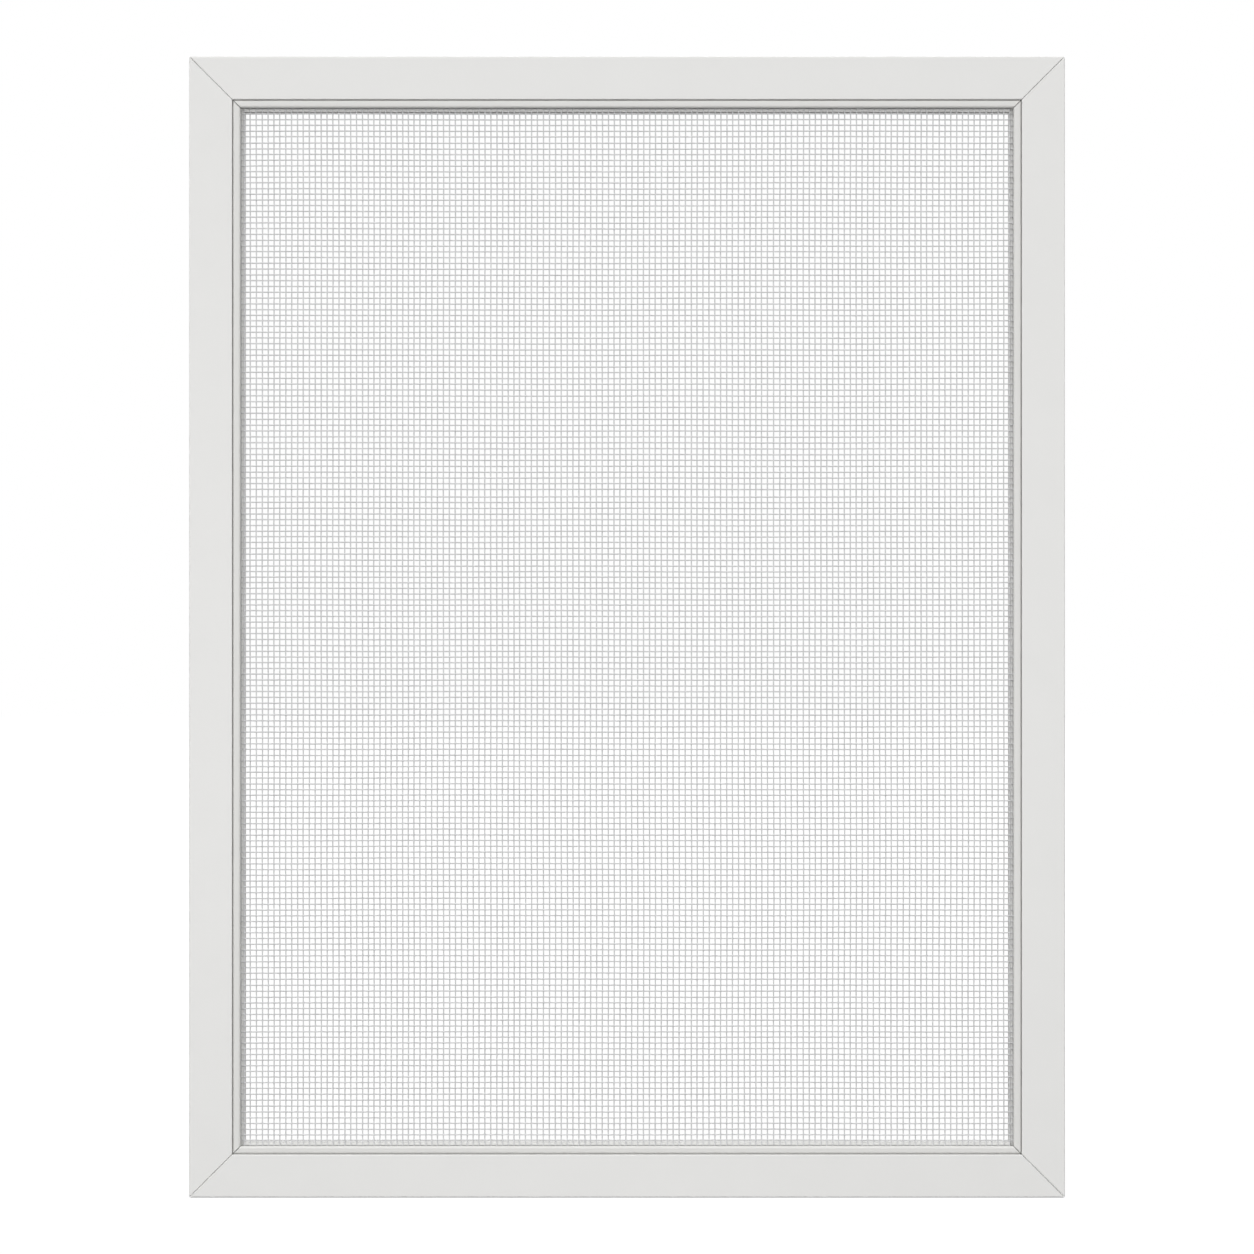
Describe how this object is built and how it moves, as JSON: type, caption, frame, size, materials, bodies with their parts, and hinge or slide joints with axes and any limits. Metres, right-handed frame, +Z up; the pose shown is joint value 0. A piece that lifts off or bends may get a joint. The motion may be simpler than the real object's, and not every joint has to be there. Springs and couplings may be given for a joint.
{
  "type": "window insect screen",
  "caption": "Rectangular window insect screen: slim mitred hollow frame with a woven mesh held in a groove by narrow mitred retaining beads.",
  "frame": {"origin": "middle of the frame's bottom edge, half way through its depth", "axes": "+Z up along the screen's height, +X to the right as seen from the front, -Y out of the front face where the beads show"},
  "size_m": [0.307, 0.008, 0.4],
  "materials": {
    "frame_coat": "satin white-grey powder coat on extruded aluminium",
    "bead_vinyl": "matte white-grey vinyl",
    "mesh_yarn": "light grey coated glass yarn, plain weave",
    "key_nylon": "moulded dark grey nylon"
  },
  "bodies": {
    "root": {"bottom_rail": "frame_coat", "top_rail": "frame_coat", "left_stile": "frame_coat", "right_stile": "frame_coat", "bead_bottom": "bead_vinyl", "bead_top": "bead_vinyl", "bead_left": "bead_vinyl", "bead_right": "bead_vinyl", "corner_key_bottom_left": "key_nylon", "corner_key_bottom_right": "key_nylon", "corner_key_top_left": "key_nylon", "corner_key_top_right": "key_nylon", "mesh": "mesh_yarn"}
  },
  "joints": []
}
